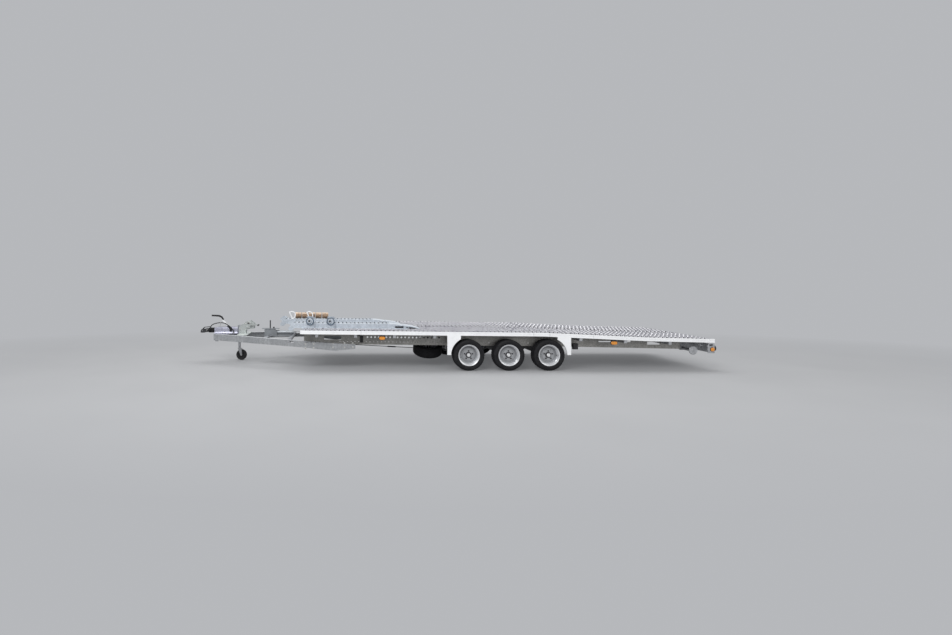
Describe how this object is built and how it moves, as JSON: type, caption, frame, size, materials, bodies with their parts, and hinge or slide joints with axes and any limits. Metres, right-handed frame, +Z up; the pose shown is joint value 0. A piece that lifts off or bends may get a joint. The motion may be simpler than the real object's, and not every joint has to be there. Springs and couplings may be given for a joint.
{
  "type": "car hauler trailer",
  "caption": "Low three-axle car hauler trailer with a long flat bed sloping down at the rear, V drawbar with ball coupling, winch, stowed ramps and a lowered jockey wheel.",
  "frame": {"origin": "on the floor, midway along the length and the width", "axes": "+X to the rear, away from the coupling; -Y is the left side; +Z up"},
  "size_m": [8.96, 2.1, 0.926],
  "materials": {
    "galvanised": "matt galvanised",
    "deck": "perforated anti-slip",
    "white_paint": "satin",
    "tyre": "matt",
    "wheel_silver": "silver",
    "housing": "satin zinc",
    "dark_cast": "black",
    "rubber": "matt",
    "lamp": "lens",
    "marker": "lens",
    "strap": "woven"
  },
  "bodies": {
    "chassis": {"arch_plates": "white_paint", "axles": "dark_cast", "beam_box": "dark_cast", "bellows": "rubber", "brake_rod": "dark_cast", "cable_fittings": "galvanised", "coupling_head": "dark_cast", "cross_members": "galvanised", "deck": "deck", "drawbar_cross_bars": "galvanised", "drawbar_left": "galvanised", "drawbar_right": "galvanised", "end_bars": "galvanised", "hand_pump": "galvanised", "handbrake_grip": "rubber", "handbrake_lever": "galvanised", "jockey_tube": "galvanised", "lamp_bar": "galvanised", "light_cable": "rubber", "main_beam_left": "galvanised", "main_beam_right": "galvanised", "outriggers": "galvanised", "overrun_housing": "housing", "prop_brackets": "galvanised", "ramps": "galvanised", "rear_lamps": "lamp", "ring_clamps": "galvanised", "side_markers": "marker", "side_rail_left": "white_paint", "side_rail_right": "white_paint", "spare_carrier": "dark_cast", "spare_rim": "wheel_silver", "spare_tyre": "tyre", "stow_hoops": "white_paint", "strap_rolls": "strap", "winch_drum": "galvanised", "winch_post": "galvanised"},
    "wheel_front_left": {"tyre_front_left": "tyre", "rim_front_left": "wheel_silver"},
    "wheel_front_right": {"tyre_front_right": "tyre", "rim_front_right": "wheel_silver"},
    "wheel_middle_left": {"tyre_middle_left": "tyre", "rim_middle_left": "wheel_silver"},
    "wheel_middle_right": {"tyre_middle_right": "tyre", "rim_middle_right": "wheel_silver"},
    "wheel_rear_left": {"tyre_rear_left": "tyre", "rim_rear_left": "wheel_silver"},
    "wheel_rear_right": {"tyre_rear_right": "tyre", "rim_rear_right": "wheel_silver"},
    "jockey_slider": {"jockey_inner_tube": "galvanised"},
    "jockey_swivel": {"jockey_fork": "galvanised"},
    "jockey_roller": {"jockey_wheel": "rubber"},
    "prop_left": {"prop_stand_left": "galvanised"},
    "prop_right": {"prop_stand_right": "galvanised"}
  },
  "joints": [
    {"name": "wheel_front_left_spin", "type": "hinge", "parent": "chassis", "child": "wheel_front_left", "pos_m": [0.295, -0.9425, 0.2625], "axis": [0, 1, 0], "continuous": true},
    {"name": "wheel_front_right_spin", "type": "hinge", "parent": "chassis", "child": "wheel_front_right", "pos_m": [0.295, 0.9425, 0.2625], "axis": [0, 1, 0], "continuous": true},
    {"name": "wheel_middle_left_spin", "type": "hinge", "parent": "chassis", "child": "wheel_middle_left", "pos_m": [0.97, -0.9425, 0.2625], "axis": [0, 1, 0], "continuous": true},
    {"name": "wheel_middle_right_spin", "type": "hinge", "parent": "chassis", "child": "wheel_middle_right", "pos_m": [0.97, 0.9425, 0.2625], "axis": [0, 1, 0], "continuous": true},
    {"name": "wheel_rear_left_spin", "type": "hinge", "parent": "chassis", "child": "wheel_rear_left", "pos_m": [1.645, -0.9425, 0.2625], "axis": [0, 1, 0], "continuous": true},
    {"name": "wheel_rear_right_spin", "type": "hinge", "parent": "chassis", "child": "wheel_rear_right", "pos_m": [1.645, 0.9425, 0.2625], "axis": [0, 1, 0], "continuous": true},
    {"name": "jockey_lift", "type": "slide", "parent": "chassis", "child": "jockey_slider", "axis": [0, 0, 1], "range_m": [0, 0.17]},
    {"name": "jockey_turn", "type": "hinge", "parent": "jockey_slider", "child": "jockey_swivel", "pos_m": [-3.79, 0.2094, 0.235], "axis": [0, 0, 1], "continuous": true},
    {"name": "jockey_roll", "type": "hinge", "parent": "jockey_swivel", "child": "jockey_roller", "pos_m": [-3.75, 0.2094, 0.1], "axis": [0, 1, 0], "continuous": true},
    {"name": "prop_left_swing", "type": "hinge", "parent": "chassis", "child": "prop_left", "pos_m": [4.117, -0.64, 0.336], "axis": [1, 0, 0], "range_deg": [0, 90]},
    {"name": "prop_right_swing", "type": "hinge", "parent": "chassis", "child": "prop_right", "pos_m": [4.117, 0.64, 0.336], "axis": [-1, 0, 0], "range_deg": [0, 90]}
  ]
}
